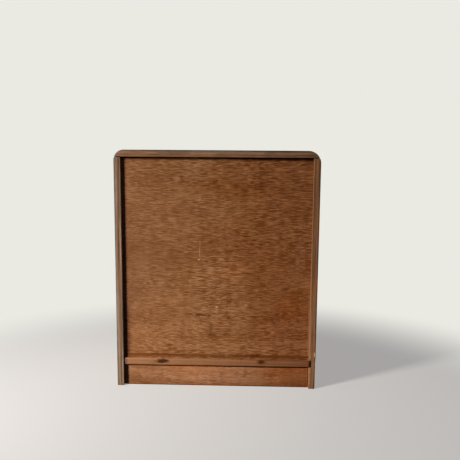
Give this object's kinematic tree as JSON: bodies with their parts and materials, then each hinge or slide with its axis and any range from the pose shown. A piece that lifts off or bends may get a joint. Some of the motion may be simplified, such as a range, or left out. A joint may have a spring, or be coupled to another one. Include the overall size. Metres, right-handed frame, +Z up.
{
  "type": "small chest of drawers",
  "caption": "Small free-standing wooden chest of drawers with turned knobs, a grooved-in plywood back, a rounded top and a plinth.",
  "frame": {"origin": "on the floor under the middle of the whole object, knobs included", "axes": "+Z up, -Y the side that the drawers open to, +Y the plywood back, +X to the right of someone facing the drawers"},
  "size_m": [0.33, 0.2508, 0.392],
  "materials": {
    "weathered_board": "bare weathered solid wood, matt, grey-brown",
    "lauan_ply": "reddish brown lauan plywood, matt, short dark grain flecks",
    "plinth_board": "reddish brown veneer, matt, lighter than the back panel",
    "frame_wood": "planed softwood, matt",
    "drawer_front": "reddish brown wood, rubbed satin",
    "drawer_wood": "pale planed wood, matt",
    "turned_knob": "dark turned wood, satin"
  },
  "bodies": {
    "case": {"back_panel": "lauan_ply", "bottom_board": "weathered_board", "glue_block_back_left": "frame_wood", "glue_block_back_right": "frame_wood", "glue_block_front_left": "frame_wood", "glue_block_front_right": "frame_wood", "plinth_back": "plinth_board", "plinth_front": "plinth_board", "rail_1": "frame_wood", "rail_2": "frame_wood", "rail_3": "frame_wood", "runner_1_left": "frame_wood", "runner_1_right": "frame_wood", "runner_2_left": "frame_wood", "runner_2_right": "frame_wood", "runner_3_left": "frame_wood", "runner_3_right": "frame_wood", "side_left": "weathered_board", "side_right": "weathered_board", "stop_1_left": "frame_wood", "stop_1_right": "frame_wood", "stop_2_left": "frame_wood", "stop_2_right": "frame_wood", "stop_3_left": "frame_wood", "stop_3_right": "frame_wood", "stop_4_left": "frame_wood", "stop_4_right": "frame_wood", "top_board": "weathered_board"},
    "drawer_1": {"drawer_1_back": "drawer_wood", "drawer_1_bottom": "lauan_ply", "drawer_1_front": "drawer_front", "drawer_1_knob": "turned_knob", "drawer_1_side_left": "drawer_wood", "drawer_1_side_right": "drawer_wood"},
    "drawer_2": {"drawer_2_back": "drawer_wood", "drawer_2_bottom": "lauan_ply", "drawer_2_front": "drawer_front", "drawer_2_knob": "turned_knob", "drawer_2_side_left": "drawer_wood", "drawer_2_side_right": "drawer_wood"},
    "drawer_3": {"drawer_3_back": "drawer_wood", "drawer_3_bottom": "lauan_ply", "drawer_3_front": "drawer_front", "drawer_3_knob": "turned_knob", "drawer_3_side_left": "drawer_wood", "drawer_3_side_right": "drawer_wood"},
    "drawer_4": {"drawer_4_back": "drawer_wood", "drawer_4_bottom": "lauan_ply", "drawer_4_front": "drawer_front", "drawer_4_knob": "turned_knob", "drawer_4_side_left": "drawer_wood", "drawer_4_side_right": "drawer_wood"}
  },
  "joints": [
    {"name": "drawer_1_slide", "type": "slide", "parent": "case", "child": "drawer_1", "axis": [0, -1, 0], "range_m": [0, 0.16]},
    {"name": "drawer_2_slide", "type": "slide", "parent": "case", "child": "drawer_2", "axis": [0, -1, 0], "range_m": [0, 0.16]},
    {"name": "drawer_3_slide", "type": "slide", "parent": "case", "child": "drawer_3", "axis": [0, -1, 0], "range_m": [0, 0.16]},
    {"name": "drawer_4_slide", "type": "slide", "parent": "case", "child": "drawer_4", "axis": [0, -1, 0], "range_m": [0, 0.16]}
  ]
}
